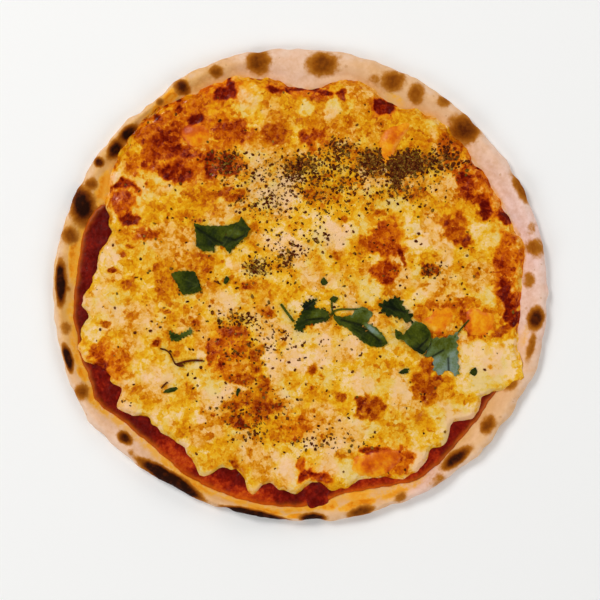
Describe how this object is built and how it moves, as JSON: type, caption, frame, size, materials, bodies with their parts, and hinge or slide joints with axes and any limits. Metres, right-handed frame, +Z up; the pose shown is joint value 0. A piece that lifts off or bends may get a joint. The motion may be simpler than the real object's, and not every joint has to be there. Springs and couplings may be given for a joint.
{
  "type": "margherita pizza",
  "caption": "Whole thin-crust round pizza with tomato sauce, browned melted cheese, soft tomato pieces, dried herb flecks and parsley leaves.",
  "frame": {"origin": "on the resting plane, under the middle of the pizza's bounding box", "axes": "+Z up out of the toppings, +X to the right and +Y away from someone who looks straight down at it"},
  "size_m": [0.3126, 0.2982, 0.0128],
  "materials": {
    "crust": "baked wheat dough, cream with dark scorched spots, dry and matte",
    "sauce": "wet tomato sauce, deep red, orange oil at its edge",
    "cheese": "melted mozzarella, cream to golden yellow with browned blisters, oily",
    "tomato": "soft baked tomato, glossy orange red",
    "parsley": "fresh parsley leaf, dark green with paler veins"
  },
  "bodies": {
    "root": {"crust": "crust", "tomato_sauce": "sauce", "melted_cheese": "cheese", "tomato_piece_1": "tomato", "tomato_piece_2": "tomato", "tomato_piece_3": "tomato", "tomato_piece_4": "tomato", "tomato_piece_5": "tomato", "tomato_piece_6": "tomato", "parsley_leaf_1": "parsley", "parsley_leaf_2": "parsley", "parsley_leaf_3": "parsley", "parsley_leaf_4": "parsley", "parsley_leaf_5": "parsley", "parsley_leaf_6": "parsley", "parsley_leaf_7": "parsley", "parsley_leaf_8": "parsley"}
  },
  "joints": []
}
